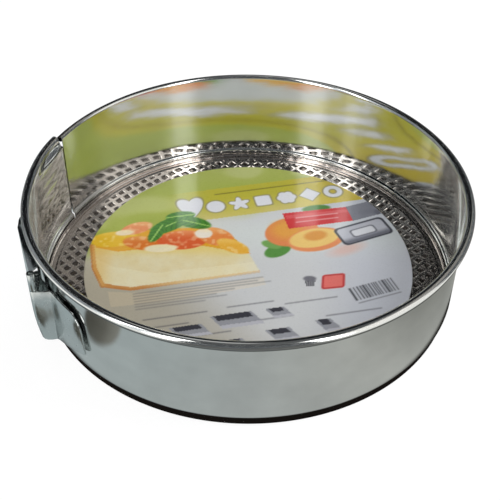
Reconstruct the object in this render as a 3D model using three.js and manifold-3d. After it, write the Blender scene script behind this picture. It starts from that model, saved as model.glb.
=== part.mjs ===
// Springform cake pan: a tinplate strip closed into a ring by a lever clasp,
// with a loose pressed floor and a loose round paper card lying on the floor.
// Millimetres, +Z up. Origin: on the pan's axis, in the plane it stands on.
// Azimuth (AZ) is counted in degrees from +X towards +Y. The clasp is near 205 degrees.
// The front part of the strip is the one that passes -Y, the rear part passes +Y.
// Every *_Z pair is [bottom, top].
import * as THREE from 'three';
import { mergeVertices } from 'three/addons/utils/BufferGeometryUtils.js';
import Module from 'manifold-3d';

const wasm = await Module();
wasm.setup();

// ---- shared dimensions --------------------------------------------------
const SHEET = 0.5;            // thickness of the strip
const WALL_IN = 130.0;        // inside radius of the wall (pan size 260)
const COLLAR_IN = 128.4;      // inside radius of the narrow collar at the foot
const TONGUE_IN = 131.0;      // inside radius of the strip's outer layer

const PIN_R = 1.2;
const BORE_R = PIN_R + 0.12;
const EYE_R = 2.2;            // outer radius of every rolled eye
const EYE_JOIN_R = 1.75;      // radius within the eye's wall where its sheet starts

const RIVET_R = 1.0;
const RIVET_HOLE_R = RIVET_R + 0.2;
const RIVET_TAIL_INSET = 0.15; // from the inside of the strip to the rivet's tail
const DRILL_SPAN = [128, 136]; // radii between which rivet holes are drilled

// ---- vectors and booleans -----------------------------------------------
const rad = (degrees) => degrees * Math.PI / 180;
const pol = (radius, az) =>
  new THREE.Vector2(radius * Math.cos(rad(az)), radius * Math.sin(rad(az)));
const vectors = (table) => table.map(([x, y]) => new THREE.Vector2(x, y));

function solid(geometry) {
  let bare = geometry.clone();
  for (const key of Object.keys(bare.attributes)) {
    if (key !== 'position') bare.deleteAttribute(key);
  }
  bare = mergeVertices(bare, 1e-4);
  return new wasm.Manifold(new wasm.Mesh({
    numProp: 3,
    vertProperties: new Float32Array(bare.attributes.position.array),
    triVerts: new Uint32Array(bare.index.array),
  }));
}

function geometryOf(manifold) {
  const mesh = manifold.getMesh();
  const geometry = new THREE.BufferGeometry();
  const positions = new Float32Array(mesh.vertProperties);
  geometry.setAttribute('position', new THREE.BufferAttribute(positions, 3));
  geometry.setIndex(new THREE.BufferAttribute(new Uint32Array(mesh.triVerts), 1));
  geometry.computeVertexNormals();
  return geometry;
}

function join(...geometries) {
  return geometryOf(geometries.map(solid).reduce((a, b) => a.add(b)));
}

function cut(body, ...tools) {
  return geometryOf(tools.map(solid).reduce((a, b) => a.subtract(b), solid(body)));
}

function meet(a, b) {
  return geometryOf(solid(a).intersect(solid(b)));
}

// ---- shapes in the plan and their extrusions ----------------------------
function disc(centre, radius) {
  return new THREE.Shape().absarc(centre.x, centre.y, radius, 0, Math.PI * 2, false);
}

function eyeRing(centre) {
  const shape = disc(centre, EYE_R);
  shape.holes.push(new THREE.Path().absarc(centre.x, centre.y, BORE_R, 0, Math.PI * 2, true));
  return shape;
}

// Constant-thickness strip along a polyline in the plan, mitred at the bends.
function stripShape(points, thickness) {
  const left = [];
  const right = [];
  const last = points.length - 1;
  points.forEach((point, i) => {
    const before = i > 0 ? point.clone().sub(points[i - 1]).normalize() : null;
    const after = i < last ? points[i + 1].clone().sub(point).normalize() : null;
    const bend = before && after;
    const along = bend ? before.clone().add(after).normalize() : (before || after);
    const normal = new THREE.Vector2(-along.y, along.x);
    const mitre = bend
      ? 1 / Math.max(0.5, normal.dot(new THREE.Vector2(-after.y, after.x)))
      : 1;
    left.push(point.clone().addScaledVector(normal, mitre * thickness / 2));
    right.push(point.clone().addScaledVector(normal, -mitre * thickness / 2));
  });
  return new THREE.Shape([...right, ...left.reverse()]);
}

// Points on a circle about the pan's axis; az is stepped by repeated addition.
function arcPoints(radius, azStart, azLimit, azStep) {
  const points = [];
  for (let az = azStart; az <= azLimit; az += azStep) points.push(pol(radius, az));
  return points;
}

function extrude(shape, depth) {
  return new THREE.ExtrudeGeometry(shape, { depth, bevelEnabled: false, curveSegments: 8 });
}

function prism(shape, [bottom, top]) {
  return extrude(shape, top - bottom).translate(0, 0, bottom);
}

// Lay a geometry's own axes along three directions, with its origin `offset` along
// its own Z from a point of the plan.
function orient(geometry, xDir, yDir, zDir, origin, offset) {
  const position = new THREE.Vector3(origin.x, origin.y, 0).addScaledVector(zDir, offset);
  geometry.applyMatrix4(new THREE.Matrix4().makeBasis(xDir, yDir, zDir).setPosition(position));
  return geometry;
}

// ---- turned pieces, from [radius, distance along the axis] profiles -----
function uprightLathe(profile, segments) {
  return new THREE.LatheGeometry(vectors(profile), segments).rotateX(Math.PI / 2);
}

// The axis points radially outwards at one azimuth and height.
function radialLathe(profile, az, z) {
  return new THREE.LatheGeometry(vectors(profile), 12).rotateZ(rad(az - 90)).translate(0, 0, z);
}

// ---- rivets -------------------------------------------------------------
// A row is three rivets about the middle of the plate they hold.
const rivetHeights = ([bottom, top], pitch) =>
  [-1, 0, 1].map((i) => (bottom + top) / 2 + i * pitch);

function drillRow(body, { az, heights }) {
  const [inner, outer] = DRILL_SPAN;
  const profile = [[0, inner], [RIVET_HOLE_R, inner], [RIVET_HOLE_R, outer], [0, outer]];
  return cut(body, ...heights.map((z) => radialLathe(profile, az, z)));
}

// tail: radius of the inner end; face: radius of the underside of the head
function rivet({ az, tail, face }, z) {
  return radialLathe([
    [0, tail], [RIVET_R, tail], [RIVET_R, face], [2.1, face],
    [2.0, face + 0.45], [1.3, face + 0.85], [0, face + 0.95],
  ], az, z);
}

// ---- strip --------------------------------------------------------------
const HEIGHT = 68.0;
const BEAD_R = 2.75;          // outer radius of the rolled rim
const BEAD_Z = HEIGHT - BEAD_R;
const BEAD_ARC = [180, -132]; // degrees, from the wall over the top and back underneath
const BEAD_STEPS = 10;
const SHOULDER_Z = 7.5;       // where the wall steps in to the collar
const LIP_IN = 126.6;         // inner edge of the lip that carries the floor
const FLEX_AZ = 32;           // where front and rear parts meet, away from the clasp
const FLEX_GAP = 0.3;         // half gap of the two parts, degrees
const FLAP_AZ = 158.5;        // end of the inner layer of the strip
const FLAP_GAP = 0.6;         // gap between the inner layer and the rear wall, degrees
const TONGUE_ROOT_AZ = 153.5; // where the outer layer starts to leave the wall
const TONGUE_ROOT_IN = 130.3; // its inside radius there
const TONGUE_RAMP = 4.4;      // degrees over which it moves outwards
const TONGUE_AZ = 200;        // end of the outer layer
const TONGUE_Z = [8.4, 60.0];

// A level path round the pan's axis whose radius may drift with azimuth.
class RingPath extends THREE.Curve {
  constructor(azStart, azEnd, radiusAt) {
    super();
    this.azStart = azStart;
    this.azEnd = azEnd;
    this.radiusAt = radiusAt;
  }

  getPoint(t, target = new THREE.Vector3()) {
    const az = this.azStart + (this.azEnd - this.azStart) * t;
    const point = pol(this.radiusAt(az), az);
    return target.set(point.x, point.y, 0);
  }
}

// Sweep a [radius offset, height] section along a ring path.
function sweep(section, azStart, azEnd, steps, radiusAt) {
  const shape = new THREE.Shape(section.map(([out, z]) => new THREE.Vector2(-z, -out)));
  const extrudePath = new RingPath(azStart, azEnd, radiusAt);
  return new THREE.ExtrudeGeometry(shape, { steps, extrudePath, bevelEnabled: false });
}

function beadArc(radius) {
  const [start, end] = BEAD_ARC;
  return Array.from({ length: BEAD_STEPS + 1 }, (_, i) => {
    const angle = rad(start + (end - start) * i / BEAD_STEPS);
    return [BEAD_R + radius * Math.cos(angle), BEAD_Z + radius * Math.sin(angle)];
  });
}

// Lip, collar, shoulder, wall and bead: up the outer face, down the inner one.
function stripSection() {
  const lip = LIP_IN - WALL_IN;
  const collar = COLLAR_IN - WALL_IN;
  return [
    [lip, 0], [collar + SHEET, 0], [collar + SHEET, SHOULDER_Z - 1.15],
    [SHEET, SHOULDER_Z - 0.25],
    ...beadArc(BEAD_R - SHEET), ...beadArc(BEAD_R).reverse(),
    [0, SHOULDER_Z], [collar, SHOULDER_Z - 0.9], [collar, SHEET], [lip, SHEET],
  ];
}

function sweepWall(azStart, azEnd, steps) {
  return sweep(stripSection(), azStart, azEnd, steps, () => WALL_IN);
}

function tongueRadius(az) {
  const t = Math.min(1, Math.max(0, (az - TONGUE_ROOT_AZ) / TONGUE_RAMP));
  return TONGUE_ROOT_IN + (TONGUE_IN - TONGUE_ROOT_IN) * t * t * (3 - 2 * t);
}

function makeBandFront() {
  return drillRow(sweepWall(FLAP_AZ, 360 + FLEX_AZ - FLEX_GAP, 62), BRACKET_RIVETS);
}

function makeBandRear() {
  const wall = sweepWall(FLEX_AZ + FLEX_GAP, FLAP_AZ - FLAP_GAP, 28);
  const [bottom, top] = TONGUE_Z;
  const section = [[0, bottom], [SHEET, bottom], [SHEET, top], [0, top]];
  const tongue = sweep(section, TONGUE_ROOT_AZ, TONGUE_AZ, 24, tongueRadius);
  return drillRow(join(wall, tongue), CATCH_RIVETS);
}

// ---- loose floor and paper card -----------------------------------------
const FLOOR_R = COLLAR_IN - 0.4;
const FLOOR_T = 0.6;
const FLOOR_FLAT_R = 121.5;   // underside: edge of the flat middle
const FLOOR_BORDER_R = 123.5; // underside: start of the raised border
const FLOOR_SLOPE_SHIFT = 0.3; // upper face of the slope, set inwards from the underside
const FLOOR_STEP_Z = 0.9;     // underside of the raised border
const FLOOR_RIM_Z = 4.2;      // top of the upturned edge
const CARD_R = 106.8;
const CARD_Z = [1.5, 1.8];
const CARD_CENTRE = [0.5, 5.0]; // x, y

// Pressed disc with a raised border and an upturned edge.
function makeFloor() {
  return uprightLathe([
    [0, 0], [FLOOR_FLAT_R, 0],
    [FLOOR_BORDER_R, FLOOR_STEP_Z], [FLOOR_R, FLOOR_STEP_Z],
    [FLOOR_R, FLOOR_RIM_Z], [FLOOR_R - FLOOR_T, FLOOR_RIM_Z],
    [FLOOR_R - FLOOR_T, FLOOR_STEP_Z + FLOOR_T],
    [FLOOR_BORDER_R - FLOOR_SLOPE_SHIFT, FLOOR_STEP_Z + FLOOR_T],
    [FLOOR_FLAT_R - FLOOR_SLOPE_SHIFT, FLOOR_T], [0, FLOOR_T],
  ], 72);
}

function makeCard() {
  const [bottom, top] = CARD_Z;
  const card = new THREE.CylinderGeometry(CARD_R, CARD_R, top - bottom, 64);
  return card.rotateX(Math.PI / 2).translate(...CARD_CENTRE, (bottom + top) / 2);
}

// ---- clasp: shared places -----------------------------------------------
const leverPivot = pol(133.6, 205.0); // lever on its bracket
const linkPivot = pol(140.3, 212.0);  // draw link on the lever
const CHEEK_Z = [[15.9, 17.1], [42.5, 43.7]];

const bore = (centre) => prism(disc(centre, BORE_R), [-1, 70]);

// ---- bracket on the front part, with the lever's eye --------------------
const CHEEK_CLEARANCE = 0.4;
const BRACKET_Z = [CHEEK_Z[0][1] + CHEEK_CLEARANCE, CHEEK_Z[1][0] - CHEEK_CLEARANCE];
const BRACKET_T = 0.8;
const BRACKET_RIVETS = {
  az: 211.6, heights: rivetHeights(BRACKET_Z, 7.3),
  tail: WALL_IN + RIVET_TAIL_INSET, face: 132.0,
};

function makeBracket() {
  const footLine = [
    leverPivot.clone().add(pol(EYE_JOIN_R, 265)), pol(132.2, 206.5), pol(131.5, 207.8),
    ...arcPoints(131.42, 209.5, 213.9, 1.1),
  ];
  const eye = prism(eyeRing(leverPivot), BRACKET_Z);
  return drillRow(join(eye, prism(stripShape(footLine, BRACKET_T), BRACKET_Z)), BRACKET_RIVETS);
}

// ---- lever: plate along the wall, eye for the link pin, two cheeks ------
const LEVER_Z = [10.3, 47.7];
const LEVER_T = 0.9;
const LEVER_R = 132.4;        // radius at which the closed lever lies along the wall
const LEVER_BEND_AZ = 214.8;  // where it leaves the wall towards the link's pivot
const LEVER_END_AZ = 228.0;   // free end
const LEVER_FACE_DIR = -39.7; // azimuth of the direction along the lever's face

// Outline seen square to the face, [distance from the link pivot along the face, z]:
// tapered, rounded at the free end, cut back below the eye.
const LEVER_OUTLINE = [
  [-2.4, LEVER_Z[1] + 0.1], [-2.4, 44.5], [2.1, 12.8], [2.9, 11.0],
  [4.3, LEVER_Z[0]], [8.6, LEVER_Z[0]], [36.0, 19.8], [37.4, 20.5],
  [37.9, 21.6], [36.9, 30.0], [36.7, 35.4], [36.1, 39.4],
  [34.8, 42.8], [33.0, 45.3], [30.4, 47.1], [27.0, LEVER_Z[1] + 0.1],
];

function leverPlate() {
  const { x, y } = linkPivot;
  const tangentY = y - EYE_R + LEVER_T / 2; // the sheet leaves the eye on its -Y side
  const line = [
    new THREE.Vector2(x, tangentY), new THREE.Vector2(x + 6.4, tangentY + 0.15),
    pol(LEVER_R + 0.55, LEVER_BEND_AZ - 0.35), pol(LEVER_R + 0.12, LEVER_BEND_AZ + 0.5),
    ...arcPoints(LEVER_R, LEVER_BEND_AZ + 1.7, LEVER_END_AZ + 0.01, 1.15),
  ];
  const sheet = prism(stripShape(line, LEVER_T), LEVER_Z);
  return join(sheet, prism(eyeRing(linkPivot), LEVER_Z));
}

function leverOutlineTool() {
  const reach = 30; // to either side of the link pivot, square to the face
  const face = pol(1, LEVER_FACE_DIR);
  const along = new THREE.Vector3(face.x, face.y, 0);
  const up = new THREE.Vector3(0, 0, 1);
  const outward = along.clone().cross(up);
  const block = extrude(new THREE.Shape(vectors(LEVER_OUTLINE)), 2 * reach);
  return orient(block, along, up, outward, linkPivot, -reach);
}

// Arm between the two pivots: it keeps to the inner side, clear of the link's leaf.
function cheek(heights) {
  const span = leverPivot.distanceTo(linkPivot);
  const angle = Math.atan2(leverPivot.y - linkPivot.y, leverPivot.x - linkPivot.x);
  // [distance from the link pivot towards the lever pivot, distance outwards]
  const arm = [
    [-1.0, -EYE_R + 0.3], [span, -EYE_R], [span, EYE_R], [3.0, -0.5], [-1.0, -0.5],
  ].map(([along, out]) => new THREE.Vector2(
    linkPivot.x + along * Math.cos(angle) - out * Math.sin(angle),
    linkPivot.y + along * Math.sin(angle) + out * Math.cos(angle)));
  return join(prism(new THREE.Shape(arm), heights), prism(disc(leverPivot, EYE_R), heights));
}

function makeLever() {
  const body = join(meet(leverPlate(), leverOutlineTool()), ...CHEEK_Z.map(cheek));
  return cut(body, bore(linkPivot), bore(leverPivot));
}

// ---- draw link: flat leaf, eye at the lever's end, hook at the far end --
const LINK_T = 0.8;
const LINK_Z = [22.0, 60.0];
const LINK_EYE_Z = LEVER_Z[1] + 0.5; // underside of the eye, just above the lever
const LINK_LEAF_START = 3.4;  // the leaf below the eye starts this far from the pivot
const LINK_FOLD_START = 3.6;
const LINK_FOLD_Z = 57.0;     // where the leaf's upper edge folds inwards
const LINK_FOLD_W = 4.6;
const HOOK_AZ = 188.8;
const leafEnd = pol(138.1, 193.0);
const leafDir = leafEnd.clone().sub(linkPivot).normalize();

function leaf(start, heights) {
  const line = [
    linkPivot.clone().addScaledVector(leafDir, start), leafEnd,
    pol(137.35, HOOK_AZ + 0.9), pol(136.9, HOOK_AZ + 0.25),
    pol(136.0, HOOK_AZ), pol(133.4, HOOK_AZ),
  ];
  return prism(stripShape(line, LINK_T), heights);
}

// Upper edge of the leaf, slanting inwards and up towards the rim.
function leafFold() {
  // [distance inwards from the leaf's mid-plane, z]
  const section = [
    [-LINK_T / 2, LINK_FOLD_Z], [LINK_T / 2, LINK_FOLD_Z - 0.3],
    [LINK_FOLD_W, LINK_Z[1] - 0.1], [LINK_FOLD_W - 0.5, LINK_Z[1] + 0.6],
  ];
  const shape = new THREE.Shape(vectors(section.map(([inward, z]) => [-inward, z])));
  const fold = extrude(shape, leafEnd.distanceTo(linkPivot) - LINK_FOLD_START);
  const along = new THREE.Vector3(leafDir.x, leafDir.y, 0);
  const up = new THREE.Vector3(0, 0, 1);
  const outward = up.clone().cross(along);
  return orient(fold, outward, up, along, linkPivot, LINK_FOLD_START);
}

function makeDrawLink() {
  return cut(
    join(
      leaf(EYE_JOIN_R, [LINK_EYE_Z, LINK_FOLD_Z]),
      prism(eyeRing(linkPivot), [LINK_EYE_Z, LINK_Z[1]]),
      leaf(LINK_LEAF_START, [LINK_Z[0], LINK_FOLD_Z]),
      leafFold()),
    bore(linkPivot));
}

// ---- catch on the rear part: foot and standing lip ----------------------
const CATCH_AZ = 191.0;       // standing lip
const CATCH_Z = [26, 50];
const CATCH_T = 0.8;
const CATCH_RIVETS = {
  az: 183.4, heights: rivetHeights(CATCH_Z, 7.5),
  tail: TONGUE_IN + RIVET_TAIL_INSET, face: 132.9,
};

function makeCatch() {
  const line = [
    ...arcPoints(132.3, 179.4, 190.1, 1.3),
    pol(132.7, CATCH_AZ - 0.25), pol(133.4, CATCH_AZ), pol(135.6, CATCH_AZ),
  ];
  return drillRow(prism(stripShape(line, CATCH_T), CATCH_Z), CATCH_RIVETS);
}

// ---- pins ---------------------------------------------------------------
const PIN_OVERHANG = 1.1;     // lever pin beyond the outer faces of the cheeks
const LEVER_PIN_Z = [CHEEK_Z[0][0] - PIN_OVERHANG, CHEEK_Z[1][1] + PIN_OVERHANG];
const LINK_PIN_Z = [38.2, 58.4];

function makePin(centre, profile) {
  return uprightLathe(profile, 16).translate(centre.x, centre.y, 0);
}

// Headed at both ends.
function makeLeverPin() {
  const [bottom, top] = LEVER_PIN_Z;
  const headR = 1.9;
  const headH = 0.8;
  return makePin(leverPivot, [
    [0, bottom], [headR - 0.5, bottom], [headR, bottom + 0.4],
    [headR, bottom + headH], [PIN_R, bottom + headH],
    [PIN_R, top - headH], [headR, top - headH],
    [headR, top - 0.4], [headR - 0.5, top], [0, top],
  ]);
}

// Plain, with chamfered ends.
function makeLinkPin() {
  const [bottom, top] = LINK_PIN_Z;
  const chamfer = 0.3;
  return makePin(linkPivot, [
    [0, bottom], [PIN_R - chamfer, bottom], [PIN_R, bottom + chamfer],
    [PIN_R, top - chamfer], [PIN_R - chamfer, top], [0, top],
  ]);
}

// ---- scene graph --------------------------------------------------------
const tin = { color: 0xb9bdbd, metalness: 1.0, roughness: 0.18 };
const steel = { color: 0xa9adac, metalness: 1.0, roughness: 0.32 };
const floorMetal = { color: 0x9a8f86, metalness: 1.0, roughness: 0.35 };
const paper = { color: 0xe7e6e2, metalness: 0.0, roughness: 0.55 };

function add(parent, name, geometry, look) {
  const mesh = new THREE.Mesh(geometry, new THREE.MeshStandardMaterial(look));
  mesh.name = name;
  parent.add(mesh);
}

function addRivets(parent, name, row) {
  row.heights.forEach((z, i) => add(parent, `${name}_${i + 1}`, rivet(row, z), steel));
}

const group = new THREE.Group();
const front = new THREE.Group();
const rear = new THREE.Group();
const clasp = new THREE.Group();
const inside = new THREE.Group();
group.add(front, rear, clasp, inside);

add(front, 'band_front', makeBandFront(), tin);
add(front, 'lever_bracket', makeBracket(), steel);
add(front, 'lever_pin', makeLeverPin(), steel);
addRivets(front, 'bracket_rivet', BRACKET_RIVETS);

add(rear, 'band_rear', makeBandRear(), tin);
add(rear, 'catch_plate', makeCatch(), steel);
addRivets(rear, 'catch_rivet', CATCH_RIVETS);

add(clasp, 'clasp_lever', makeLever(), steel);
add(clasp, 'link_pin', makeLinkPin(), steel);
add(clasp, 'draw_link', makeDrawLink(), steel);

add(inside, 'base_plate', makeFloor(), floorMetal);
add(inside, 'paper_card', makeCard(), paper);

export default group;
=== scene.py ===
# A round tin: a sheet-metal band with a rolled rim and a clasp, an embossed floor and a
# printed card lying on it. The tin stands on z = 0 with its axis on Z. -Y is the front,
# +X the right. Shapes are worked out in millimetres; azimuths are degrees from +X,
# anticlockwise seen from above. Lights, stage and camera are in metres.
import bpy
import math
import numpy as np
from mathutils import Matrix, Vector


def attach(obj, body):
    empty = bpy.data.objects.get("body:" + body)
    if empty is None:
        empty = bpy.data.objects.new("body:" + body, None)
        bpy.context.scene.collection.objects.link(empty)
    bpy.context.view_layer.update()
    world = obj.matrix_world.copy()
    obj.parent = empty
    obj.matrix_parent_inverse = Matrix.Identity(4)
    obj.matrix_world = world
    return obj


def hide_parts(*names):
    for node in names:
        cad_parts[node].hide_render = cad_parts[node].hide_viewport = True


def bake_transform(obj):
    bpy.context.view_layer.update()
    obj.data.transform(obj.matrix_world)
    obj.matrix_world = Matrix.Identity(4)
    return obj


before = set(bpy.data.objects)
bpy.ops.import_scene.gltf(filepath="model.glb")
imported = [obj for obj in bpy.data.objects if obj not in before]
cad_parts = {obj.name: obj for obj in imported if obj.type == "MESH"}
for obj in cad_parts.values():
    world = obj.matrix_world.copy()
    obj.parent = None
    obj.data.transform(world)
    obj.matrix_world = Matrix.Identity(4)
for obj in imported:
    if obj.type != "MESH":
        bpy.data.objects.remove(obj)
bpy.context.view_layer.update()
MM = 0.001
TURN = 2 * math.pi

# band
SHEET = 0.5                 # sheet thickness
WALL_R = 130.25             # radius of the sheet's middle
HEIGHT = 68.0
FOOT_R = 128.65             # the band is drawn in above its foot lip
FOOT_BEND = 0.6
LIP_Z = 0.26
RIM_R = 2.75                # outer radius of the rolled rim
REAR_RIM_CUT = 0.75         # the rear strip's rim is rolled this much tighter
SEAM_AZ = 12.0              # front and rear strips meet on the right
FLAP_AZ = 158.5             # free end of the front strip, at the left rear

# slack of the front strip's free end
FLAP_SPAN = 24.0            # degrees
FLAP_BOW = 1.3
FLAP_RIPPLE = 0.085
RIPPLE_PITCH = 6.9
FLAP_FLARE = 1.9            # how far its rim springs out

# tongue: outer layer that carries on from the rear strip round the left side
TONGUE_ROOT_AZ, TONGUE_END_AZ = 153.5, 200.0
TONGUE_ROOT_R, TONGUE_R = 130.3, 131.25
TONGUE_EASE = 4.6           # degrees from the one radius to the other
TONGUE_HALF_SHEET = 0.22
TONGUE_LOW, TONGUE_HIGH = 8.4, 60.0
TONGUE_CORNER = 4.0

# floor
PITCH = 6.9                 # of the embossed lattice
LATTICE_TURN = 44.0         # degrees
WAFFLE_R = 123.2
BORDER_STEPS = 540

# card
CARD_R, CARD_X, CARD_Y = 106.8, 0.5, 5.0
CARD_TOP, CARD_T = 1.78, 0.28
CARD_GRID = 310
CARD_SWELL = 0.10


# ------------------------------------------------------------------ geometry helpers
def smooth(x):
    """Smooth step from 0 to 1."""
    x = np.clip(x, 0.0, 1.0)
    return x * x * (3 - 2 * x)


def make_mesh(name, verts_mm, faces, uv=None):
    """Smooth-shaded mesh object; uv holds one pair per vertex."""
    mesh = bpy.data.meshes.new(name)
    mesh.from_pydata([tuple(v) for v in (np.asarray(verts_mm, float) * MM)], [], faces)
    mesh.validate()
    mesh.polygons.foreach_set("use_smooth", [True] * len(mesh.polygons))
    if uv is not None:
        layer = mesh.uv_layers.new(name="Strip")
        corners = read_array(mesh.loops, "vertex_index")
        layer.data.foreach_set("uv", np.asarray(uv, np.float32)[corners].ravel())
    mesh.update()
    ob = bpy.data.objects.new(name, mesh)
    bpy.context.scene.collection.objects.link(ob)
    return ob


def read_array(items, key):
    values = np.zeros(len(items), np.int32)
    items.foreach_get(key, values)
    return values


def colour_points(mesh, name, rgb):
    """Store one colour per vertex."""
    values = np.ones((len(mesh.vertices), 4), np.float32)
    values[:, :3] = rgb
    attribute = mesh.color_attributes.new(name, "FLOAT_COLOR", "POINT")
    attribute.data.foreach_set("color", values.ravel())


def offset_line(points, distance):
    """Parallel to an open polyline, at a distance to its left."""
    points = np.asarray(points, float)
    along = np.gradient(points, axis=0)
    along /= np.linalg.norm(along, axis=1)[:, None]
    return points + np.stack([-along[:, 1], along[:, 0]], 1) * distance


def arc(cx, cy, radius, start, end, count):
    angles = np.radians(np.linspace(start, end, count))
    return [(cx + radius * math.cos(t), cy + radius * math.sin(t)) for t in angles]


# ------------------------------------------------------------------ shader helpers
def is_socket(value):
    return isinstance(value, bpy.types.NodeSocket)


def rgba(value):
    """Full colour from a grey level or (r, g, b); a socket passes through."""
    if is_socket(value):
        return value
    if isinstance(value, (int, float)):
        value = (value, value, value)
    return (*value, 1.0)


def fill(tree, target, inputs):
    """Link or set inputs of a node, by name or index."""
    for key, value in inputs.items():
        if is_socket(value):
            tree.links.new(value, target.inputs[key])
        else:
            target.inputs[key].default_value = value


def node(tree, kind, inputs=None, **settings):
    made = tree.nodes.new("ShaderNode" + kind)
    for key, value in settings.items():
        setattr(made, key, value)
    fill(tree, made, inputs or {})
    return made


def empty_tree(owner):
    owner.use_nodes = True
    owner.node_tree.nodes.clear()
    return owner.node_tree


def new_material(name):
    material = bpy.data.materials.new(name)
    tree = empty_tree(material)
    output = node(tree, "OutputMaterial")
    shader = node(tree, "BsdfPrincipled")
    fill(tree, output, {"Surface": shader.outputs["BSDF"]})
    return material, tree, shader


def ramp(tree, factor, stops):
    """Colour ramp; each stop is (position, grey level or colour)."""
    made = node(tree, "ValToRGB", {"Fac": factor})
    elements = made.color_ramp.elements
    while len(elements) > 1:
        elements.remove(elements[-1])
    elements[0].position = stops[0][0]
    elements[0].color = rgba(stops[0][1])
    for position, colour in stops[1:]:
        elements.new(position).color = rgba(colour)
    return made.outputs["Color"]


def mix(tree, first, second, factor=1.0, blend="MIX"):
    made = node(tree, "Mix", data_type="RGBA", blend_type=blend)
    fill(tree, made, {"Factor": factor, 6: rgba(first), 7: rgba(second)})
    return made.outputs[2]


def mix_shader(tree, factor, first, second):
    return node(tree, "MixShader", {"Fac": factor, 1: first, 2: second}).outputs[0]


def adjust_input(tree, shader, name, second, blend="MULTIPLY"):
    """Blend a second colour into whatever already feeds an input."""
    before = shader.inputs[name].links[0].from_socket
    fill(tree, shader, {name: mix(tree, before, second, blend=blend)})


def noise(tree, vector, scale, detail, roughness):
    inputs = {"Vector": vector, "Scale": scale, "Detail": detail, "Roughness": roughness}
    return node(tree, "TexNoise", inputs).outputs["Fac"]


def point_layer(tree, name):
    return node(tree, "VertexColor", layer_name=name).outputs["Color"]


def calc(tree, operation, first, second=None):
    inputs = {0: first} if second is None else {0: first, 1: second}
    return node(tree, "Math", inputs, operation=operation).outputs[0]


def ranged(tree, value, low, high):
    """0 at low, 1 at high, smooth between."""
    inputs = {"From Min": low, "From Max": high, "Value": value}
    made = node(tree, "MapRange", inputs, interpolation_type="SMOOTHSTEP")
    return made.outputs["Result"]


def window(tree, value, low, high, soft):
    """1 between low and high, falling off smoothly over soft on either side."""
    return calc(tree, "MULTIPLY", ranged(tree, value, low - soft, low),
                ranged(tree, value, high + soft, high))


def full_turn(tree, angle, added):
    """Angle plus an offset, wrapped to 0-360 degrees."""
    return calc(tree, "FLOORED_MODULO", calc(tree, "ADD", angle, added), 360.0)


def azimuth_of(tree, x, y):
    angle = calc(tree, "MULTIPLY", calc(tree, "ARCTAN2", y, x), 180 / math.pi)
    return full_turn(tree, angle, 360.0)


# ------------------------------------------------------------------ metal materials
def metal(name, base, roughness, *, wave, scratch, strip=False, dirt=0.0):
    """Sheet metal. wave and scratch are bump strengths, dirt darkens the broad patches.
    A strip takes its texture from its UV map, in millimetres along and across."""
    material, tree, shader = new_material(name)
    source = node(tree, "TexCoord").outputs["UV" if strip else "Object"]

    def texture(strip_scale, object_scale, detail, roughness):
        scale = strip_scale if strip else object_scale
        mapping = node(tree, "Mapping", {"Vector": source, "Scale": scale})
        return noise(tree, mapping.outputs["Vector"], 1.0, detail, roughness)

    # fine rolling lines, broad unevenness, small specks
    lines = texture((0.006, 2.2, 1.0), (300, 300, 1500), detail=3.0, roughness=0.6)
    broad = texture((0.03, 0.05, 1.0), (30, 30, 30), detail=2.0, roughness=0.5)
    specks = texture((0.35, 0.9, 1.0), (350, 350, 350), detail=5.0, roughness=0.7)

    speck_rough = ramp(tree, specks, [
        (0.45, roughness), (0.62, roughness * 1.35 + 0.01), (0.8, roughness * 2.0 + 0.05)])
    line_rough = ramp(tree, lines, [(0.3, 0.8), (0.7, 1.2)])
    dark = tuple(c * (0.93 - dirt) for c in base)
    fine_bump = node(tree, "Bump", {"Strength": scratch, "Distance": 0.00004, "Height": lines})
    broad_bump = node(tree, "Bump", {
        "Strength": wave, "Distance": 0.0012, "Height": broad,
        "Normal": fine_bump.outputs["Normal"]})
    fill(tree, shader, {
        "Metallic": 1.0,
        "Roughness": mix(tree, speck_rough, line_rough, blend="MULTIPLY"),
        "Base Color": ramp(tree, broad, [(0.35, dark), (0.65, base)]),
        "Normal": broad_bump.outputs["Normal"]})
    return material, tree, shader


def tinplate():
    """Bright strip, with painted shade below the rolled rim and a faint stretched second
    reflection.
    """
    material, tree, shader = metal("tinplate_bright", (0.765, 0.775, 0.755), 0.07,
                                   strip=True, wave=0.10, scratch=0.25)
    # painted shade under the rolled rim darkens the base colour
    adjust_input(tree, shader, "Base Color", point_layer(tree, "RimShade"))
    tangent = node(tree, "Tangent", direction_type="UV_MAP", uv_map="Strip")
    haze = node(tree, "BsdfAnisotropic", {
        "Roughness": 0.45, "Anisotropy": 0.985, "Rotation": 0.25,
        "Tangent": tangent.outputs[0],
        "Color": shader.inputs["Base Color"].links[0].from_socket,
    }, distribution="BECKMANN")
    surface = shader.outputs["BSDF"].links[0].to_socket
    mixed = mix_shader(tree, 0.05, shader.outputs["BSDF"], haze.outputs[0])
    tree.links.new(mixed, surface)
    return material


def floor_tin():
    """Floor metal: painted shade darkens the wells of the embossing, which are also rougher
    than the ribs.
    """
    material, tree, shader = metal("floor_tin", (0.66, 0.61, 0.57), 0.13,
                                   wave=0.05, scratch=0.2, dirt=0.05)
    rib = point_layer(tree, "Rib")
    # painted shade in the wells of the embossing
    well_shade = ramp(tree, rib, [(0.15, (0.26, 0.245, 0.235)), (0.60, 1.0)])
    adjust_input(tree, shader, "Base Color", well_shade)
    well_rough = ramp(tree, rib, [(0.20, 0.12), (0.60, 0.0)])
    adjust_input(tree, shader, "Roughness", well_rough, blend="ADD")
    return material


TIN = tinplate()
CLASP = metal("clasp_steel", (0.66, 0.69, 0.68), 0.17, wave=0.06, scratch=0.15)[0]
FLOOR = floor_tin()


# ------------------------------------------------------------------ band
def ring_at(radius, z, azimuth):
    """Points of a section (radius, z) turned to an azimuth."""
    angle = math.radians(azimuth)
    return np.stack([radius * math.cos(angle), radius * math.sin(angle), z], 1)


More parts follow.
